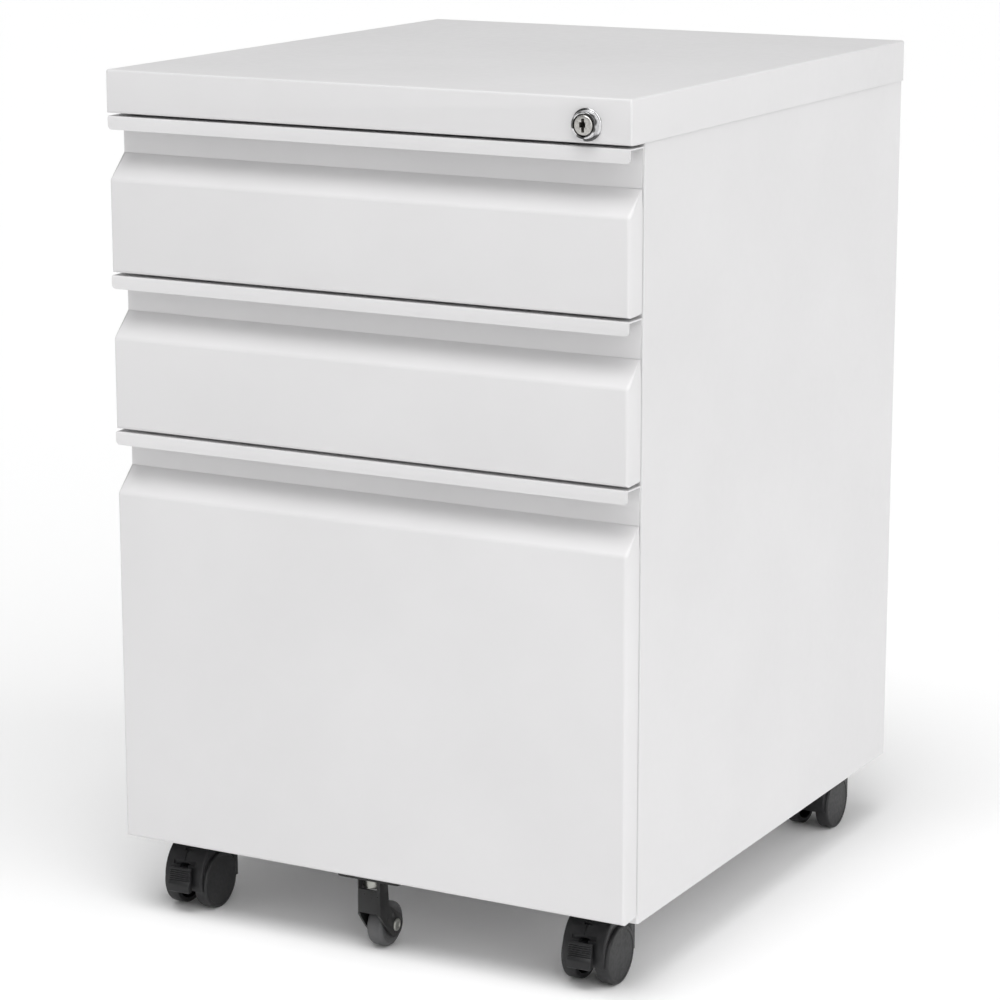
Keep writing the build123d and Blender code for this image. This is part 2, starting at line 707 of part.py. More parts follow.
with BuildPart() as anti_tip_axle:
    with BuildSketch(axle_plane(-FORK_HALF - axle_head, TIP_AXLE_Y, TIP_AXLE_Z)):
        Circle(AXLE_RADIUS)
    extrude(amount=2 * (FORK_HALF + axle_head))
    for start in (-FORK_HALF - axle_head, FORK_HALF):
        with BuildSketch(axle_plane(start, TIP_AXLE_Y, TIP_AXLE_Z)):
            Circle(4.4)
        extrude(amount=axle_head)
finish(anti_tip_axle, "anti_tip_axle")

with BuildPart() as anti_tip_wheel:
    with BuildSketch(axle_plane(-6.0, TIP_AXLE_Y, TIP_AXLE_Z)):
        Circle(TIP_RADIUS)
    extrude(amount=12)
    fillet(anti_tip_wheel.edges(), radius=2.5)
    with BuildSketch(axle_plane(-7.1, TIP_AXLE_Y, TIP_AXLE_Z)):
        Circle(5.0)
    extrude(amount=14.2)
    with BuildSketch(axle_plane(-8.0, TIP_AXLE_Y, TIP_AXLE_Z)):
        Circle(AXLE_RADIUS + RUNNING_FIT)
    extrude(amount=16, mode=Mode.SUBTRACT)
finish(anti_tip_wheel, "anti_tip_wheel")

with BuildPart() as anti_tip_bolts:
    for x, y, radius in bolt_holes:
        with BuildSketch(Plane.XY.offset(MOUNT_BOTTOM)):
            with Locations((x, y)):
                Circle(radius - RUNNING_FIT)
        extrude(amount=7)
        with BuildSketch(Plane.XY.offset(MOUNT_BOTTOM)):
            with Locations((x, y)):
                if x:
                    Circle(3.8)
                else:
                    RegularPolygon(6.0, 6, major_radius=False)
        extrude(amount=-6 if x == 0 else -2.4)
finish(anti_tip_bolts, "anti_tip_bolts")
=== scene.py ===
import json
from math import atan2, cos, hypot, pi, radians, remainder, sin

import bmesh
import bpy
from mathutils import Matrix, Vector


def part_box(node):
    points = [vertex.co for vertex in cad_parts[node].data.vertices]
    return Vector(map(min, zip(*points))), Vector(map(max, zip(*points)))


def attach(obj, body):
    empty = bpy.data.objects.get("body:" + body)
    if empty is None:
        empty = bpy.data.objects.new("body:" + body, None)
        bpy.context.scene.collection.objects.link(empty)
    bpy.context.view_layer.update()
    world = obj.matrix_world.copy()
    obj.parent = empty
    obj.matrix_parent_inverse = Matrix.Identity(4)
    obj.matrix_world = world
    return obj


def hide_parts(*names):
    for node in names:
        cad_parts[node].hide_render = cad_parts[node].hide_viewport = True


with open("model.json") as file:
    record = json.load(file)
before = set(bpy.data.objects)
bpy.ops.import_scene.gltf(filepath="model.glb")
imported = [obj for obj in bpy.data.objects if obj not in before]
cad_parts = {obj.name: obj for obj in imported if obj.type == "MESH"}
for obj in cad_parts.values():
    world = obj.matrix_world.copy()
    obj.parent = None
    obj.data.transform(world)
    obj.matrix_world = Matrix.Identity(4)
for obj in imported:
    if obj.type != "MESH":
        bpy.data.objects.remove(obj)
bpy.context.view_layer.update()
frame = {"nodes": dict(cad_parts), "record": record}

MM = 0.001

# ---- Places taken from the frame, in metres
cap_low, cap_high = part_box("top_cap")
FRONT = cap_low.y  # plane of the drawer fronts
CAP_BOTTOM = cap_low.z
SHEET = 1 * MM  # cap and drawer fronts
BOX_SHEET = 0.8 * MM  # drawer boxes
FORK_SHEET = 1.6 * MM
DRAWERS = ("top_drawer", "middle_drawer", "file_drawer")
CORNERS = ("front_left", "front_right", "rear_left", "rear_right")


# ============================================================ bench tools
def only(piece):
    """Make one piece the only selected and the active object."""
    bpy.ops.object.select_all(action="DESELECT")
    piece.select_set(True)
    bpy.context.view_layer.objects.active = piece


def added(name):
    """Name the primitive just added and open it in edit mode with nothing selected."""
    piece = bpy.context.object
    piece.name = piece.data.name = name
    only(piece)
    bpy.ops.object.transform_apply(location=True, rotation=True, scale=True)
    bpy.ops.object.mode_set(mode="EDIT")
    bpy.ops.mesh.select_mode(type="VERT")
    bpy.ops.mesh.select_all(action="DESELECT")
    return piece


def new_block(name, low, high):
    """A cube primitive between two corners, open in edit mode."""
    low, high = Vector(low), Vector(high)
    bpy.ops.object.select_all(action="DESELECT")
    bpy.ops.mesh.primitive_cube_add(size=1, location=(low + high) / 2, scale=high - low)
    return added(name)


def new_rod(name, radius, start, end, sides=64):
    """A cylinder primitive along X or Y or Z between two points, open in edit mode."""
    start, end = Vector(start), Vector(end)
    turn = {0: (0, pi / 2, 0), 1: (pi / 2, 0, 0), 2: (0, 0, 0)}
    along = max(range(3), key=lambda i: abs(end[i] - start[i]))
    bpy.ops.object.select_all(action="DESELECT")
    bpy.ops.mesh.primitive_cylinder_add(
        vertices=sides,
        radius=radius,
        depth=(end - start).length,
        location=(start + end) / 2,
        rotation=turn[along],
    )
    return added(name)


def pick(kind, test):
    """Select just the vertices, edges or faces of the open mesh that pass the test."""
    bpy.ops.mesh.select_mode(type=kind)
    bpy.ops.mesh.select_all(action="DESELECT")
    data = bpy.context.edit_object.data
    mesh = bmesh.from_edit_mesh(data)
    for item in {"VERT": mesh.verts, "EDGE": mesh.edges, "FACE": mesh.faces}[kind]:
        item.select_set(bool(test(item)))
    mesh.select_flush_mode()
    bmesh.update_edit_mesh(data)


def middle(item):
    """Middle of an edge or a face."""
    return sum((v.co for v in item.verts), Vector()) / len(item.verts)


def near(a, b, slack=0.05 * MM):
    return abs(a - b) < slack


def runs(edge, axis):
    """Whether an edge lies along one axis: 0, 1 or 2."""
    a, b = (v.co for v in edge.verts)
    return all(near(a[i], b[i]) for i in range(3) if i != axis)


def extrude(x=0.0, y=0.0, z=0.0):
    bpy.ops.mesh.extrude_region_move(TRANSFORM_OT_translate={"value": (x, y, z)})


def bevel(width, steps=3):
    bpy.ops.mesh.bevel(offset=width, segments=steps)


def is_fold(edge):
    """Whether two faces meet at an edge at more than a slight angle."""
    return len(edge.link_faces) == 2 and edge.calc_face_angle(0) > radians(15)


def bevel_folds(width, steps=3):
    """Round every fold of the open mesh."""
    pick("EDGE", is_fold)
    bevel(width, steps)


def modified(piece, kind, **settings):
    """Add a modifier to a piece and apply it."""
    bpy.ops.object.mode_set(mode="OBJECT")
    only(piece)
    modifier = piece.modifiers.new(kind.title(), kind)
    for key, value in settings.items():
        setattr(modifier, key, value)
    bpy.ops.object.modifier_apply(modifier=modifier.name)
    return piece


def face_outwards(test, direction):
    """Make the open mesh's faces agree, with the faces that pass the test turned a given way."""
    bpy.ops.mesh.select_all(action="SELECT")
    bpy.ops.mesh.normals_make_consistent(inside=False)
    mesh = bmesh.from_edit_mesh(bpy.context.edit_object.data)
    known = next(f for f in mesh.faces if test(f))
    if known.normal.dot(Vector(direction)) < 0:
        bpy.ops.mesh.flip_normals()


def thicken(piece, sheet):
    """Give a folded sheet its thickness, inwards from its outer face."""
    return modified(piece, "SOLIDIFY", thickness=sheet, offset=-1, use_even_offset=True)


def soften(piece, width, steps=2, least=30):
    """Break the sharp edges of a finished piece."""
    return modified(
        piece, "BEVEL", width=width, segments=steps, limit_method="ANGLE", angle_limit=radians(least),
    )


def combine(piece, tool, operation):
    """Cut a tool out of a piece or weld it on, and throw the tool away."""
    bpy.ops.object.mode_set(mode="OBJECT")
    modified(piece, "BOOLEAN", object=tool, operation=operation, solver="EXACT")
    bpy.data.objects.remove(tool)
    return piece


def close_edit():
    if bpy.context.mode != "OBJECT":
        bpy.ops.object.mode_set(mode="OBJECT")


def turned(name, axis_point, along, profile, steps=64):
    """A lathe-turned piece: (distance along the axis, radius) points, spun about the axis."""
    axis = Vector((0, 0, 0))
    axis[along] = 1
    outward = Vector((0, 0, 1)) if along != 2 else Vector((1, 0, 0))
    centre = Vector(axis_point)
    points = [centre + axis * step + outward * radius for step, radius in profile]
    bpy.ops.object.select_all(action="DESELECT")
    bpy.ops.mesh.primitive_plane_add(size=MM, location=points[0])
    piece = added(name)
    bpy.ops.mesh.select_all(action="SELECT")
    bpy.ops.mesh.merge(type="CENTER")
    for start, end in zip(points, points[1:]):
        bpy.ops.mesh.extrude_vertices_move(TRANSFORM_OT_translate={"value": end - start})
    bpy.ops.mesh.select_all(action="SELECT")
    bpy.ops.mesh.spin(steps=steps, angle=2 * pi, center=centre, axis=axis)
    bpy.ops.mesh.select_all(action="SELECT")
    bpy.ops.mesh.remove_doubles(threshold=0.01 * MM)
    bpy.ops.mesh.delete_loose(use_faces=False)
    bpy.ops.mesh.select_all(action="SELECT")
    bpy.ops.mesh.normals_make_consistent(inside=False)
    return piece


def arc(start, through, end, steps):
    """Points along the arc through three points, after its start and up to its end."""
    (ax, ay), (bx, by), (cx, cy) = start, through, end
    twice = 2 * (ax * (by - cy) + bx * (cy - ay) + cx * (ay - by))
    a, b, c = ax**2 + ay**2, bx**2 + by**2, cx**2 + cy**2
    ox = (a * (by - cy) + b * (cy - ay) + c * (ay - by)) / twice
    oy = (a * (cx - bx) + b * (ax - cx) + c * (bx - ax)) / twice
    first = atan2(ay - oy, ax - ox)
    sweep = remainder(atan2(cy - oy, cx - ox) - first, 2 * pi)
    radius = hypot(ax - ox, ay - oy)
    turns = [first + sweep * (i + 1) / steps for i in range(steps)]
    return [(ox + radius * cos(t), oy + radius * sin(t)) for t in turns]


def outline(name, centre, points, left, right):
    """A plate cut to an outline of (Y, Z) points in millimetres from a centre, between two X."""
    places = [centre + Vector((left, y * MM, z * MM)) for y, z in points]
    bpy.ops.object.select_all(action="DESELECT")
    bpy.ops.mesh.primitive_plane_add(size=MM, location=places[0])
    piece = added(name)
    bpy.ops.mesh.select_all(action="SELECT")
    bpy.ops.mesh.merge(type="CENTER")
    for start, end in zip(places, places[1:]):
        bpy.ops.mesh.extrude_vertices_move(TRANSFORM_OT_translate={"value": end - start})
    bpy.ops.mesh.select_all(action="SELECT")
    bpy.ops.mesh.edge_face_add()
    extrude(x=right - left)
    bpy.ops.mesh.select_all(action="SELECT")
    bpy.ops.mesh.normals_make_consistent(inside=False)
    return piece


def done(piece, material, body, nodes=(), smooth=35):
    """Close a piece, shade and finish it, and seat it on its body in place of its CAD nodes."""
    close_edit()
    only(piece)
    bpy.ops.object.shade_smooth_by_angle(angle=radians(smooth))
    piece.data.materials.clear()
    piece.data.materials.append(material)
    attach(piece, body)
    if nodes:
        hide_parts(*nodes)
    return piece


# ============================================================ finishes
class Finish:
    """A node material under construction, on Object coordinates."""

    def __init__(self, name, color, metallic=0.0, roughness=0.5, specular=0.5):
        self.material = bpy.data.materials.new(name)
        self.material.use_nodes = True
        self.tree = self.material.node_tree
        self.shader = self.tree.nodes["Principled BSDF"]
        self.shader.inputs["Base Color"].default_value = (*color, 1)
        self.shader.inputs["Metallic"].default_value = metallic
        self.shader.inputs["Roughness"].default_value = roughness
        self.shader.inputs["Specular IOR Level"].default_value = specular
        self.place = self.tree.nodes.new("ShaderNodeTexCoord").outputs["Object"]
        self.material.diffuse_color = (*color, 1)

    def link(self, out, into):
        self.tree.links.new(out, into)

    def noise(self, scale, detail=2.0, roughness=0.5, stretch=(1, 1, 1)):
        """Noise on the object's own coordinates, scale in cells to the metre."""
        place = self.place
        if stretch != (1, 1, 1):
            mapping = self.tree.nodes.new("ShaderNodeMapping")
            mapping.inputs["Scale"].default_value = stretch
            self.link(place, mapping.inputs["Vector"])
            place = mapping.outputs["Vector"]
        texture = self.tree.nodes.new("ShaderNodeTexNoise")
        texture.inputs["Scale"].default_value = scale
        texture.inputs["Detail"].default_value = detail
        texture.inputs["Roughness"].default_value = roughness
        self.link(place, texture.inputs["Vector"])
        return texture.outputs["Fac"]

    def colors(self, value, low, high, start=0.35, end=0.65):
        """Blend between two colours by a value."""
        ramp = self.tree.nodes.new("ShaderNodeValToRGB")
        first, last = ramp.color_ramp.elements
        first.position, last.position = start, end
        first.color, last.color = (*low, 1), (*high, 1)
        self.link(value, ramp.inputs["Fac"])
        self.link(ramp.outputs["Color"], self.shader.inputs["Base Color"])

    def roughness(self, value, low, high):
        spread = self.tree.nodes.new("ShaderNodeMapRange")
        spread.inputs["From Min"].default_value = 0.3
        spread.inputs["From Max"].default_value = 0.7
        spread.inputs["To Min"].default_value = low
        spread.inputs["To Max"].default_value = high
        self.link(value, spread.inputs["Value"])
        self.link(spread.outputs["Result"], self.shader.inputs["Roughness"])

    def bumps(self, value, height, strength=1.0):
        """Raise the surface by a value; a second call adds its relief to the first."""
        bump = self.tree.nodes.new("ShaderNodeBump")
        bump.inputs["Distance"].default_value = height
        bump.inputs["Strength"].default_value = strength
        self.link(value, bump.inputs["Height"])
        normal = self.shader.inputs["Normal"]
        if normal.links:
            self.link(normal.links[0].from_socket, bump.inputs["Normal"])
        self.link(bump.outputs["Normal"], normal)


def powder_coat():
    """White satin powder coat: a very fine orange peel and a barely uneven white."""
    coat = Finish("white_powder_coat", (0.68, 0.675, 0.68), roughness=0.42)
    coat.colors(coat.noise(9, 3), (0.67, 0.665, 0.67), (0.69, 0.685, 0.69))
    coat.roughness(coat.noise(160, 3), 0.38, 0.47)
    coat.bumps(coat.noise(750, 3, 0.55), 0.03 * MM, 0.5)
    return coat.material


def moulded_nylon(name, dark, light, gloss):
    """Dark moulded nylon with a fine spark-eroded grain."""
    nylon = Finish(name, dark, roughness=gloss, specular=0.32)
    nylon.colors(nylon.noise(70, 4), dark, light)
    nylon.roughness(nylon.noise(400, 3), gloss - 0.07, gloss + 0.08)
    nylon.bumps(nylon.noise(2200, 2), 0.02 * MM, 0.6)
    return nylon.material


def zinc_plate():
    """Bright zinc plating on rolled steel: cloudy, with faint rolling lines along Y."""
    zinc = Finish("zinc_plate", (0.6, 0.61, 0.62), metallic=1.0, roughness=0.36)
    zinc.colors(zinc.noise(120, 4), (0.3, 0.305, 0.28), (0.43, 0.43, 0.4))
    zinc.roughness(zinc.noise(220, 4, 0.6), 0.28, 0.46)
    zinc.bumps(zinc.noise(1500, 2, 0.5, (1, 0.04, 1)), 0.01 * MM, 0.5)
    return zinc.material


def polished_chrome():
    """Mirror chrome, with broad dark patches painted into its colour: a painted reflection of a dim
    room.
    """
    chrome = Finish("polished_chrome", (0.76, 0.76, 0.77), metallic=1.0, roughness=0.08)
    chrome.roughness(chrome.noise(900, 3), 0.05, 0.13)
    # painted reflection: near-black patches in the base colour stand in for a dim room mirrored in the
    # chrome
    chrome.colors(chrome.noise(150, 1), (0.1, 0.1, 0.1), (0.72, 0.72, 0.73), 0.44, 0.54)
    return chrome.material


def satin_nickel():
    """Lock plug: a warm grey, faintly uneven, with a fine grain."""
    nickel = Finish("satin_nickel", (0.62, 0.61, 0.58), metallic=1.0, roughness=0.3)
    nickel.colors(nickel.noise(500, 3), (0.44, 0.43, 0.41), (0.56, 0.55, 0.53))
    nickel.roughness(nickel.noise(1200, 3), 0.24, 0.38)
    nickel.bumps(nickel.noise(3000, 2), 0.01 * MM, 0.5)
    return nickel.material


def black_enamel():
    """Black paint over pressed steel, worn to a dull grey in specks."""
    enamel = Finish("black_enamel", (0.012, 0.012, 0.012), roughness=0.3, specular=0.35)
    enamel.colors(enamel.noise(60, 3), (0.008, 0.008, 0.008), (0.011, 0.011, 0.011))
    enamel.roughness(enamel.noise(300, 3), 0.27, 0.33)
    enamel.bumps(enamel.noise(900, 2), 0.01 * MM, 0.4)
    return enamel.material


WHITE = powder_coat()
HOOD_NYLON = moulded_nylon("hood_nylon", (0.011, 0.011, 0.012), (0.017, 0.017, 0.018), 0.42)
WHEEL_NYLON = moulded_nylon("wheel_nylon", (0.017, 0.017, 0.018), (0.025, 0.025, 0.026), 0.45)
TREAD_NYLON = moulded_nylon("tread_nylon", (0.075, 0.075, 0.077), (0.098, 0.098, 0.1), 0.5)
TRAY_NYLON = moulded_nylon("tray_nylon", (0.03, 0.03, 0.032), (0.04, 0.04, 0.043), 0.5)
GUIDE_NYLON = moulded_nylon("guide_nylon", (0.62, 0.62, 0.59), (0.7, 0.7, 0.67), 0.45)
ZINC = zinc_plate()
CHROME = polished_chrome()
NICKEL = satin_nickel()
ENAMEL = black_enamel()

BY_SLOT = {
    "white_paint": WHITE,
    "zinc_steel": ZINC,
    "chrome": CHROME,
    "satin_nickel": NICKEL,
    "black_nylon": HOOD_NYLON,
    "black_wheel": WHEEL_NYLON,
    "grey_tread": TREAD_NYLON,
    "black_paint": ENAMEL,
    "tray_plastic": TRAY_NYLON,
    "guide_plastic": GUIDE_NYLON,
}
for part in frame["record"]["subparts"]:
    node = frame["nodes"][part["node"]]
    node.data.materials.clear()
    node.data.materials.append(BY_SLOT[part["material_slot"]])


# ============================================================ case
def top_cap():
    """Folded lid: soft bends round the top, a return under its front and the lock's hole."""
    piece = new_block("cap_shell", cap_low, cap_high)
    pick("FACE", lambda f: f.normal.z < -0.5)
    bpy.ops.mesh.delete(type="ONLY_FACE")
    pick("EDGE", lambda e: near(middle(e).z, CAP_BOTTOM) and near(middle(e).y, FRONT))
    extrude(y=16 * MM)
    bevel_folds(1.7 * MM, 4)
    thicken(piece, SHEET)
    housing_low, housing_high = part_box("lock_housing")
    lock = (housing_low + housing_high) / 2
    hole = new_rod("hole", 9.1 * MM, (lock.x, FRONT - 3 * MM, lock.z), (lock.x, FRONT + 5 * MM, lock.z))
    combine(piece, hole, "DIFFERENCE")
    soften(piece, 0.15 * MM, 1, 50)
    return done(piece, WHITE, "case", ["top_cap"])


top_cap()


# ============================================================ drawers
# down from a front's top edge
LIP_FOOT = 9 * MM
RECESS_FOOT = 27 * MM
SLOPE_FOOT = 43 * MM
LIP_RETURN = 6 * MM  # how far the sheet turns back under the lip
LIP_CORNER = 3 * MM  # radius of the lip's lower corners
CORNER_STEPS = 5
LIP_BEND = 0.9 * MM
FACE_BEND = 1.5 * MM


def drawer_front(drawer):
    """One folded sheet: return, thin lip, finger recess, slope, face, foot and two cheeks."""
    low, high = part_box(f"{drawer}_front")
    half, inner = high.x, high.x - SHEET
    depth = high.y - low.y
    lip_foot, wall_foot, face_top = (high.z - drop for drop in (LIP_FOOT, RECESS_FOOT, SLOPE_FOOT))
    width, level = half - LIP_CORNER, lip_foot
    bpy.ops.object.select_all(action="DESELECT")
    bpy.ops.mesh.primitive_plane_add(size=1, location=(0, FRONT + LIP_RETURN / 2, lip_foot))
    bpy.context.object.scale = (2 * width, LIP_RETURN, 1)
    piece = added(f"{drawer}_folded_front")
    pick("EDGE", lambda e: runs(e, 0) and near(middle(e).y, FRONT))
    for step in range(1, CORNER_STEPS + 1):
        turn = pi / 2 * step / CORNER_STEPS
        wider = half - LIP_CORNER * (1 - sin(turn))
        higher = lip_foot + LIP_CORNER * (1 - cos(turn))
        extrude(z=higher - level)
        bpy.ops.transform.resize(value=(wider / width, 1, 1), center_override=(0, 0, 0))
        width, level = wider, higher
    extrude(z=high.z - level)
    extrude(y=depth)
    extrude(z=wall_foot - high.z)
    bpy.ops.transform.resize(value=(inner / half, 1, 1), center_override=(0, 0, 0))
    extrude(y=SHEET - depth, z=face_top - wall_foot)
    extrude(z=low.z + SHEET - face_top)
    extrude(y=depth - 2 * SHEET)
    # the cheeks: the face's ends turn back, and a corner closes each up to the slope
    face = FRONT + SHEET
    pick("EDGE", lambda e: runs(e, 2) and near(middle(e).y, face) and near(abs(middle(e).x), inner))
    extrude(y=depth - 2 * SHEET)
    for side in (-1, 1):
        corners = (
            Vector((side * inner, face, face_top)),
            Vector((side * inner, FRONT + depth - SHEET, face_top)),
            Vector((side * inner, FRONT + depth, wall_foot)),
        )
        pick("VERT", lambda v: any((v.co - c).length < 0.2 * MM for c in corners))
        bpy.ops.mesh.edge_face_add()
    face_outwards(lambda f: near(middle(f).y, FRONT) and middle(f).z > lip_foot, (0, -1, 0))
    pick("EDGE", lambda e: is_fold(e) and middle(e).z > high.z - MM)
    bevel(LIP_BEND)
    pick("EDGE", lambda e: is_fold(e) and middle(e).z < wall_foot + MM)
    bevel(FACE_BEND, 4)
    thicken(piece, SHEET)
    return done(piece, WHITE, drawer, [f"{drawer}_front"])


def drawer_box(drawer, hem):
    """Sheet steel tray with soft bends; a box drawer has a hem turned in along each side."""
    low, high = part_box(f"{drawer}_box")
    piece = new_block(f"{drawer}_tray", low, high)
    pick("FACE", lambda f: f.normal.z > 0.5)
    bpy.ops.mesh.delete(type="ONLY_FACE")
    bevel_folds(1.4 * MM, 3)
    if hem:
        for rim, inwards in ((low.x, hem), (high.x, -hem)):
            pick("EDGE", lambda e: runs(e, 1) and near(middle(e).x, rim) and near(middle(e).z, high.z))
            extrude(x=inwards)
    thicken(piece, BOX_SHEET)
    soften(piece, 0.2 * MM, 1, 50)
    return done(piece, WHITE, drawer, [f"{drawer}_box"])


def pencil_tray():
    """Moulded tray: two long troughs and two pockets with rounded corners."""
    low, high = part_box("pencil_tray")
    piece = new_block("moulded_pencil_tray", low, high)
    close_edit()
    troughs = (
        ((-170, 40), (3, 42)),
        ((-170, 40), (45, 82)),
        ((43, 105), (3, 82)),
        ((108, 170), (3, 82)),
    )
    for (left, right), (near_edge, far_edge) in troughs:
        hollow = new_block(
            "hollow",
            (left * MM, low.y + near_edge * MM, low.z + 2.5 * MM),
            (right * MM, low.y + far_edge * MM, high.z + 5 * MM),
        )
        pick("EDGE", lambda e: runs(e, 2) or middle(e).z < low.z + 3 * MM)
        bevel(5 * MM, 5)
        combine(piece, hollow, "DIFFERENCE")
    soften(piece, 0.6 * MM, 2, 40)
    return done(piece, TRAY_NYLON, "top_drawer", ["pencil_tray"])


for drawer in DRAWERS:
    drawer_front(drawer)
drawer_box("top_drawer", 5 * MM)
drawer_box("middle_drawer", 5 * MM)
drawer_box("file_drawer", 0)
pencil_tray()


# ============================================================ lock
def lock():
    """Turned chrome bezel and barrel, and a nickel plug with a key slot in its face."""
    low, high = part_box("lock_housing")
    place = (low + high) / 2
    centre = Vector((place.x, FRONT, place.z))
    barrel_back = high.y - FRONT
    bezel = (
        (barrel_back, 6.95 * MM),
        (barrel_back, 9 * MM),
        (0, 9 * MM),
        (0, 10.4 * MM),
        (-1.0 * MM, 10.4 * MM),
        (-1.5 * MM, 10.1 * MM),
        (-1.8 * MM, 9.3 * MM),
        (-4.6 * MM, 8.7 * MM),
        (-5.3 * MM, 8.3 * MM),
        (-5.6 * MM, 7.7 * MM),
        (-5.3 * MM, 7.2 * MM),
        (-4.5 * MM, 6.95 * MM),
        (barrel_back, 6.95 * MM),
    )
    piece = turned("lock_bezel", centre, 1, bezel, 96)
    close_edit()
    soften(piece, 0.12 * MM, 2, 25)
    done(piece, CHROME, "case", ["lock_housing"], smooth=50)

    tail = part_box("lock_plug")[1].y - FRONT
    plug = (
        (tail, 0),
        (tail, 3.5 * MM),
        (barrel_back, 3.5 * MM),
        (barrel_back, 6.9 * MM),
        (-2.6 * MM, 6.9 * MM),
        (-3.2 * MM, 6.35 * MM),
        (-5.3 * MM, 6.35 * MM),
        (-5.8 * MM, 5.9 * MM),
        (-6.0 * MM, 4.6 * MM),
        (-6.0 * MM, 0),
    )
    piece = turned("lock_face", centre, 1, plug, 96)
    close_edit()
    keyway = new_block(
        "keyway",
        centre + Vector((-1.0, -9, -4.3)) * MM,
        centre + Vector((1.0, 8, 4.3)) * MM,
    )
    combine(piece, keyway, "DIFFERENCE")
    widening = new_block(
        "widening",
        centre + Vector((-2.4, -9, -1.2)) * MM,
        centre + Vector((1.8, 8, 2.0)) * MM,
    )
    combine(piece, widening, "DIFFERENCE")
    soften(piece, 0.15 * MM, 2, 30)
    done(piece, NICKEL, "lock_cylinder", ["lock_plug"])


lock()


# ============================================================ casters
HOOD_ARC = 27 * MM  # the hood is a slice of a drum of this radius
HOOD_CENTRE = (4.5 * MM, 4 * MM)  # its middle, behind and above the axle
HOOD_HALF = 15.5 * MM
WEB_HALF = 6 * MM  # the hood's solid middle, between the wheels
# from the axle, in millimetres
HOOD_FOOT = -3.5
HOOD_BACK = 25.2
NECK_FOOT = 24
NECK_TOP = 37
WELL_END = 17
WELL_RADIUS = 20.6 * MM


def axle_of(corner):
    """Middle of a caster's axle."""
    low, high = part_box(f"{corner}_caster_axle")
    return (low + high) / 2


def around(centre, x, y, z):
    """A point given from a caster's or a wheel's middle, in millimetres."""
    return centre + Vector((x, y, z)) * MM


def caster_hood(corner, slotted):
    """Moulded hood: a drum slice over both wheels, a tapered neck under the stem, and wheel wells."""
    axle = axle_of(corner)
    drum = axle + Vector((0, *HOOD_CENTRE))
    side = Vector((HOOD_HALF, 0, 0))
    piece = new_rod(f"{corner}_moulded_hood", HOOD_ARC, drum - side, drum + side, 96)
    for level, cut in (((0, 0, HOOD_FOOT), (0, 0, 1)), ((0, HOOD_BACK, 0), (0, -1, 0))):
        bpy.ops.mesh.select_all(action="SELECT")
        bpy.ops.mesh.bisect(
            plane_co=around(axle, *level), plane_no=cut, use_fill=True, clear_inner=True,
        )
    pick(
        "EDGE",
        lambda e: near(e.verts[0].co.x, e.verts[1].co.x)
        and near(abs(middle(e).x - axle.x), HOOD_HALF)
        and middle(e).z > axle.z - 3 * MM,
    )
    bevel(1.3 * MM, 4)
    close_edit()
    neck_low = around(axle, -12, -9, NECK_FOOT)
    neck_high = around(axle, 12, 24.8, NECK_TOP)
    neck = new_block("neck", neck_low, neck_high)
    pick("EDGE", lambda e: runs(e, 0) and near(middle(e).z, neck_high.z) and middle(e).y < axle.y)
    bpy.ops.transform.translate(value=(0, 11 * MM, 0))
    pick("EDGE", lambda e: not runs(e, 0) and middle(e).z > neck_low.z + MM)
    bevel(3.2 * MM, 4)
    combine(piece, neck, "UNION")
    for sign in (-1, 1):
        inner, outer = sorted((sign * WEB_HALF / MM, sign * WELL_END))
        well = new_rod("well", WELL_RADIUS, around(axle, inner, 0, 0), around(axle, outer, 0, 0), 96)
        combine(piece, well, "DIFFERENCE")
    if slotted:
        arm_slot = new_block("arm_slot", around(axle, -3.3, -30, -1.2), around(axle, 3.3, -5.5, 15))
        combine(piece, arm_slot, "DIFFERENCE")
        slot = new_block("slot", around(axle, -8.9, -30, 14.2), around(axle, 8.9, -18.6, 17))
        combine(piece, slot, "DIFFERENCE")
    vent = new_block("vent", around(axle, -2.9, -17, 22.9), around(axle, 2.9, -12.2, 24.2))
    combine(piece, vent, "DIFFERENCE")
    # parting groove round the drum
    ring = ((-0.7, 26.2), (-1.2, 28), (1.2, 28), (0.7, 26.2), (-0.7, 26.2))
    groove = turned("groove", drum, 0, [(along * MM, radius * MM) for along, radius in ring], 90)
    combine(piece, groove, "DIFFERENCE")
    soften(piece, 0.3 * MM, 2, 40)
    return done(piece, HOOD_NYLON, f"{corner}_caster", [f"{corner}_caster_hood"])


def caster_wheel(corner, name, sign):
    """Turned wheel: rounded tread, a narrow rim, a nearly flat disc and a hollow back with its hub."""
    section = (
        (6.3, 3.05), (6.3, 5.5), (14.6, 6.0), (15.2, 6.8), (15.2, 15.6), (14.6, 16.3), (7.9, 16.5),
        (7.5, 16.9), (7.5, 19.2), (7.75, 19.7), (8.3, 20.0), (16.2, 20.0), (16.9, 19.75),
        (17.35, 19.2), (17.5, 18.5), (17.5, 17.6), (17.15, 17.3), (17.25, 9), (17.3, 0),
    )
    profile = [(sign * along * MM, radius * MM) for along, radius in section]
    profile += [(sign * 15.8 * MM, 0), (sign * 15.8 * MM, 3.05 * MM), profile[0]]
    piece = turned(f"{corner}_{name}_moulded_wheel", axle_of(corner), 0, profile, 72)
    body, node = f"{corner}_{name}_wheel", f"{corner}_caster_{name}_wheel"
    return done(piece, WHEEL_NYLON, body, [node], smooth=40)


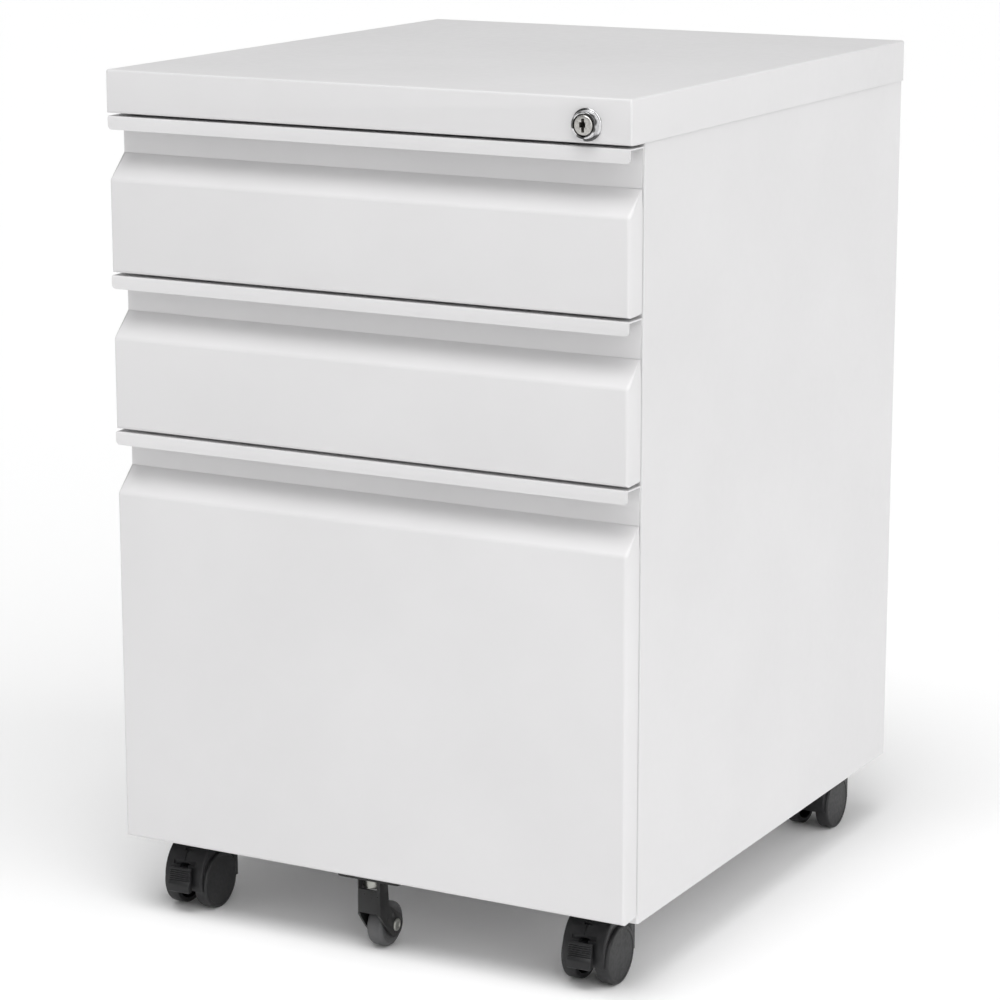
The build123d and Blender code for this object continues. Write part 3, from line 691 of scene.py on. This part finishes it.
def brake_lever(corner):
    """Foot tab, thicker at its foot and ribbed over its upper half, with its arm and pin."""
    axle = axle_of(corner)
    ribs, pitch, rib_low = 6, 1.45, 4.6
    face = [(-24.4, -3.6), (-28.4, -3.6), (-28.9, -3.0), (-28.7, 2.0), (-27.2, rib_low - 0.4)]
    for rib in range(ribs):
        level = rib_low + rib * pitch
        lean = -27.0 + 0.16 * rib
        face += [(lean + 0.5, level), (lean - 0.15, level + 0.45), (lean - 0.15, level + 0.95)]
    face += [(-25.9, 13.6), (-25.3, 14.0), (-24.4, 14.0)]
    piece = outline(f"{corner}_foot_brake", axle, face, -8.6 * MM, 8.6 * MM)
    close_edit()
    arm = new_block("arm", around(axle, -3, -25, 5.2), around(axle, 3, -6.6, 12.8))
    combine(piece, arm, "UNION")
    pin = new_rod("pin", 2 * MM, around(axle, -5.8, -9, 9), around(axle, 5.8, -9, 9), 32)
    combine(piece, pin, "UNION")
    soften(piece, 0.22 * MM, 2, 30)
    return done(piece, HOOD_NYLON, f"{corner}_brake", [f"{corner}_brake_lever"])


for corner in CORNERS:
    caster_hood(corner, corner.startswith("front"))
    for name, sign in (("left", -1), ("right", 1)):
        caster_wheel(corner, name, sign)
    if corner.startswith("front"):
        brake_lever(corner)


# ============================================================ anti-tip wheel
PLATE = 2 * MM  # the fork's mounting plate


def anti_tip_fork():
    """Pressed fork: a U of sheet cut to its side outline and its web, under a mounting plate."""
    axle_low, axle_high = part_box("anti_tip_axle")
    axle = (axle_low + axle_high) / 2
    low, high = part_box("anti_tip_fork")
    plate_bottom = high.z - PLATE
    front = FRONT + 3.6 * MM - axle.y  # the web's front face, from the axle
    half = 9 * MM
    top = plate_bottom - axle.z
    piece = new_block(
        "pressed_fork",
        axle + Vector((-half, front, -9 * MM)),
        axle + Vector((half, 12 * MM, top)),
    )
    pick("FACE", lambda f: f.normal.y > 0.5 or abs(f.normal.z) > 0.5)
    bpy.ops.mesh.delete(type="ONLY_FACE")
    bevel_folds(2.2 * MM, 4)
    thicken(piece, FORK_SHEET)
    side_cut = [(front / MM, top / MM + 1), (front / MM, 13.5)]
    side_cut += arc((front / MM, 13.5), (-13.8, 2.4), (-5.0, -7.2), 10)
    side_cut += [(8.8 * sin(radians(a)), -8.8 * cos(radians(a))) for a in range(-30, 121, 10)]
    side_cut += [(-9.5, 17.0), (-11.5, top / MM + 1)]
    silhouette = outline("silhouette", axle, side_cut, -12 * MM, 12 * MM)
    combine(piece, silhouette, "INTERSECT")
    for bottom, upper in ((-10, 13.5), (30.4, 40)):
        gap = new_block("gap", around(axle, -7.0, -30, bottom), around(axle, 7.0, -12, upper))
        combine(piece, gap, "DIFFERENCE")
    plate = new_block("plate", (low.x, low.y, plate_bottom), (high.x, FRONT + 18.3 * MM, high.z))
    pick("EDGE", lambda e: runs(e, 2))
    bevel(2.5 * MM, 4)
    combine(piece, plate, "UNION")
    eye = new_rod("eye", 3.05 * MM, around(axle, -12, 0, 0), around(axle, 12, 0, 0), 48)
    combine(piece, eye, "DIFFERENCE")
    for x, y, radius in bolt_places():
        hole = new_rod("hole", radius, (x, y, plate_bottom - MM), (x, y, high.z + MM), 32)
        combine(piece, hole, "DIFFERENCE")
    soften(piece, 0.3 * MM, 2, 40)
    return done(piece, ENAMEL, "file_drawer", ["anti_tip_fork"])


def bolt_places():
    """The middle bolt and the two screws of the mounting plate: X, Y and shank radius."""
    y = FRONT + 11 * MM
    return ((0, y, 4.05 * MM), (-17 * MM, y, 2.05 * MM), (17 * MM, y, 2.05 * MM))


def anti_tip_wheel():
    """Small moulded roller with rounded shoulders, a ring in each side and a hub."""
    low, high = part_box("anti_tip_wheel")
    half_section = (
        (7.1, 3.05), (7.1, 4.6), (6.8, 5.0), (5.6, 5.4), (5.4, 6.0), (5.4, 11.2), (5.7, 11.8),
        (6.0, 12.4), (5.9, 13.6), (5.3, 14.7), (4.2, 15.35), (3.0, 15.5),
    )
    section = [*half_section, *[(-along, radius) for along, radius in reversed(half_section)]]
    profile = [(along * MM, radius * MM) for along, radius in (*section, section[0])]
    piece = turned("anti_tip_roller", (low + high) / 2, 0, profile, 72)
    return done(piece, TREAD_NYLON, "tip_wheel", ["anti_tip_wheel"], smooth=40)


def anti_tip_axle():
    """Riveted pin with a rolled head at each end."""
    low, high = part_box("anti_tip_axle")
    half = (high.x - low.x) / 2 / MM
    end = (
        (half - 1.5, 3.0), (half - 1.5, 4.3), (half - 1.0, 4.4), (half - 0.4, 4.1), (half, 3.4),
        (half, 2.5), (half - 0.5, 2.1), (half - 0.7, 0),
    )
    section = [*[(-along, radius) for along, radius in reversed(end)], *end]
    profile = [(along * MM, radius * MM) for along, radius in section]
    piece = turned("anti_tip_rivet", (low + high) / 2, 0, profile, 48)
    return done(piece, ZINC, "file_drawer", ["anti_tip_axle"], smooth=40)


def pan_head_screw(place, length, radius):
    """A screw whose head hangs down from a place on the plate, with a cross slot."""
    profile = (
        (length, 0),
        (length, radius),
        (0, radius),
        (0, 3.8 * MM),
        (-0.9 * MM, 3.7 * MM),
        (-1.7 * MM, 3.0 * MM),
        (-2.2 * MM, 1.6 * MM),
        (-2.4 * MM, 0),
    )
    screw = turned("screw", place, 2, profile, 40)
    close_edit()
    for across, along in ((2.0, 0.4), (0.4, 2.0)):
        size = Vector((across, along, 0)) * MM
        bottom, top = (place - Vector((0, 0, drop)) for drop in (3 * MM, 1.2 * MM))
        combine(screw, new_block("cross", bottom - size, top + size), "DIFFERENCE")
    return screw


def anti_tip_bolts():
    """Hex bolt with a washer face, and two pan-head screws, up through the mounting plate."""
    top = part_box("anti_tip_bolts")[1].z
    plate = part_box("anti_tip_fork")[1].z - PLATE
    room = 0.1 * MM  # round each shank in its hole
    (x, y, radius), *screws = bolt_places()
    bpy.ops.object.select_all(action="DESELECT")
    bpy.ops.mesh.primitive_cylinder_add(
        vertices=6, radius=6.9 * MM, depth=5.4 * MM, location=(x, y, plate - 3.3 * MM),
    )
    bolts = added("anti_tip_fasteners")
    pick("FACE", lambda f: f.normal.z < -0.5)
    bpy.ops.mesh.inset(thickness=0.8 * MM)
    pick("FACE", lambda f: f.normal.z < -0.5 and len(f.verts) == 6)
    bpy.ops.transform.translate(value=(0, 0, -0.5 * MM))
    close_edit()
    collar = new_rod("collar", 6.4 * MM, (x, y, plate - 0.8 * MM), (x, y, plate), 48)
    combine(bolts, collar, "UNION")
    shank = new_rod("shank", radius - room, (x, y, plate - MM), (x, y, top), 32)
    combine(bolts, shank, "UNION")
    for x, y, radius in screws:
        screw = pan_head_screw(Vector((x, y, plate)), top - plate, radius - room)
        combine(bolts, screw, "UNION")
    soften(bolts, 0.25 * MM, 2, 35)
    return done(bolts, ZINC, "file_drawer", ["anti_tip_bolts"])


anti_tip_fork()
anti_tip_wheel()
anti_tip_axle()
anti_tip_bolts()


# ============================================================ floor, lights, camera
def pale_floor():
    bpy.ops.object.select_all(action="DESELECT")
    bpy.ops.mesh.primitive_plane_add(size=80, location=(0, 0, 0))
    floor = bpy.context.object
    floor.name = "floor"
    paper = Finish("studio_paper", (0.93, 0.93, 0.93), roughness=0.8, specular=0.1)
    floor.data.materials.append(paper.material)


def surround():
    """White all round: as bright as the floor at the horizon, and dimmer above it."""
    world = bpy.data.worlds.new("studio_surround")
    world.use_nodes = True
    tree = world.node_tree
    background = tree.nodes["Background"]
    direction = tree.nodes.new("ShaderNodeTexCoord").outputs["Generated"]
    height = tree.nodes.new("ShaderNodeSeparateXYZ")
    tree.links.new(direction, height.inputs["Vector"])
    fade = tree.nodes.new("ShaderNodeMapRange")
    fade.inputs["From Min"].default_value = 0.02
    fade.inputs["From Max"].default_value = 0.2
    fade.inputs["To Min"].default_value = 1.0
    fade.inputs["To Max"].default_value = 0.4
    tree.links.new(height.outputs["Z"], fade.inputs["Value"])
    tree.links.new(fade.outputs["Result"], background.inputs["Strength"])
    # a dark opening high at the back, for the lock's chrome to mirror
    towards = tree.nodes.new("ShaderNodeVectorMath")
    towards.operation = "DOT_PRODUCT"
    towards.inputs[1].default_value = Vector((0.05, 0.74, 0.67)).normalized()
    tree.links.new(direction, towards.inputs[0])
    edge = tree.nodes.new("ShaderNodeValToRGB")
    first, last = edge.color_ramp.elements
    first.position, last.position = 0.9, 0.95
    first.color, last.color = (1, 1, 1, 1), (0.03, 0.03, 0.03, 1)
    tree.links.new(towards.outputs["Value"], edge.inputs["Fac"])
    tree.links.new(edge.outputs["Color"], background.inputs["Color"])
    bpy.context.scene.world = world


def lamp(name, turn, rise, strength, spread):
    """A broad soft light from one side: degrees to the right of the front, and above the floor."""
    bpy.ops.object.light_add(
        type="SUN", location=(0, 0, 3), rotation=(radians(90 - rise), 0, radians(turn)),
    )
    light = bpy.context.object
    light.name = name
    light.data.energy = strength
    light.data.angle = radians(spread)


def camera():
    """Long lens, a little above the cabinet and to its right."""
    turn, rise, distance = radians(28.31), radians(13.0), 2.35
    aim = Vector((0.0074, -0.044, 0.282))
    back = Vector((sin(turn) * cos(rise), -cos(turn) * cos(rise), sin(rise)))
    bpy.ops.object.camera_add(location=aim + back * distance, rotation=(pi / 2 - rise, 0, turn))
    view = bpy.context.object
    view.data.lens = 120.3
    view.data.sensor_width = 36
    bpy.context.scene.camera = view


pale_floor()
surround()
lamp("key_lamp", 64, 38, 1.5, 70)
lamp("top_lamp", 5, 72, 1.45, 35)
camera()
bpy.context.scene.view_settings.view_transform = "Standard"
